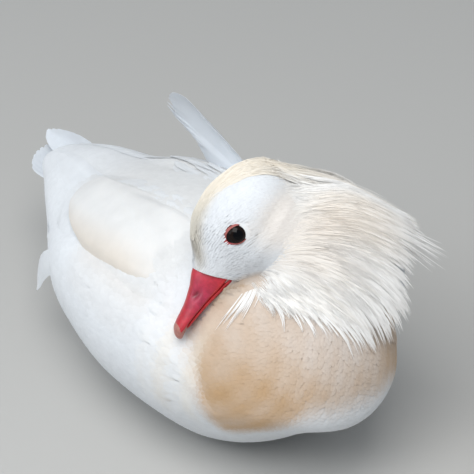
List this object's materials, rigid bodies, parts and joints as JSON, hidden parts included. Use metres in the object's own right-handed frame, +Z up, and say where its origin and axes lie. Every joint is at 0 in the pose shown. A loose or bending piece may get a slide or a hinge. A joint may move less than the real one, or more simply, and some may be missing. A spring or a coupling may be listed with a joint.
{
  "type": "mandarin duck",
  "caption": "White mandarin drake resting on its belly, head turned down to its right, with swept crest, side whiskers and one wing sail raised.",
  "frame": {"origin": "on the level that the bird rests on, in the middle of the flat of its belly", "axes": "+X towards the breast, +Y to the bird's left, +Z up"},
  "size_m": [0.271, 0.128, 0.157],
  "materials": {
    "plumage": "matte",
    "crest": "matte",
    "bill": "satin",
    "nail": "satin",
    "eye": "gloss",
    "leg": "satin"
  },
  "bodies": {
    "root": {"torso": "plumage", "neck": "plumage", "head": "plumage", "bill_upper": "bill", "bill_lower": "bill", "bill_nail": "nail", "eye_left": "eye", "eye_right": "eye", "crest": "crest", "ruff_left": "crest", "ruff_right": "crest", "wing_left": "plumage", "wing_right": "plumage", "sail_left": "plumage", "sail_right": "plumage", "flank_left": "plumage", "flank_right": "plumage", "tail": "plumage", "leg_left": "leg", "leg_right": "leg"}
  },
  "joints": []
}
